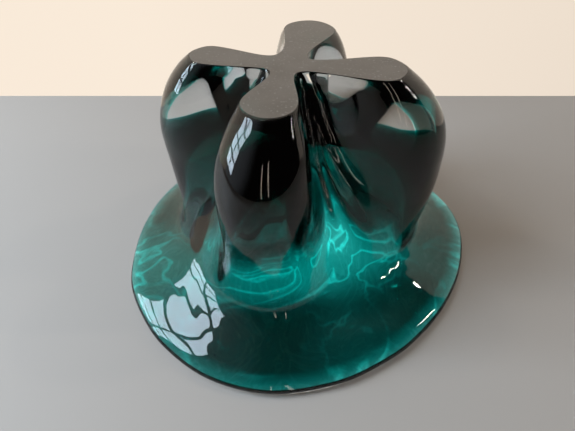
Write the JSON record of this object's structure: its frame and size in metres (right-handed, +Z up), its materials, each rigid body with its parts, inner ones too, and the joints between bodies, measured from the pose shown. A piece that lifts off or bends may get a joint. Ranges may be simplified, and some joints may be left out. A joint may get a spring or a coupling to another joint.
{
  "type": "lobed glass bowl",
  "caption": "Heavy hand-worked glass bowl with deep lobes, a flared rim and a ground flat foot, a teal lining inside a clear casing, shown standing mouth down like a cloche.",
  "frame": {"origin": "on the surface the rim stands on, at the middle of the mouth's box", "axes": "+Z up, from the mouth to the ground foot; +X towards the longest lobe; +Y towards the lobe at the back; -Y is the front"},
  "size_m": [0.1618, 0.158, 0.092],
  "materials": {
    "clear_glass": "fire-polished clear glass, ground and polished flat on the foot",
    "teal_glass": "fire-polished transparent teal glass"
  },
  "bodies": {
    "root": {"clear_casing": "clear_glass", "teal_lining": "teal_glass"}
  },
  "joints": []
}
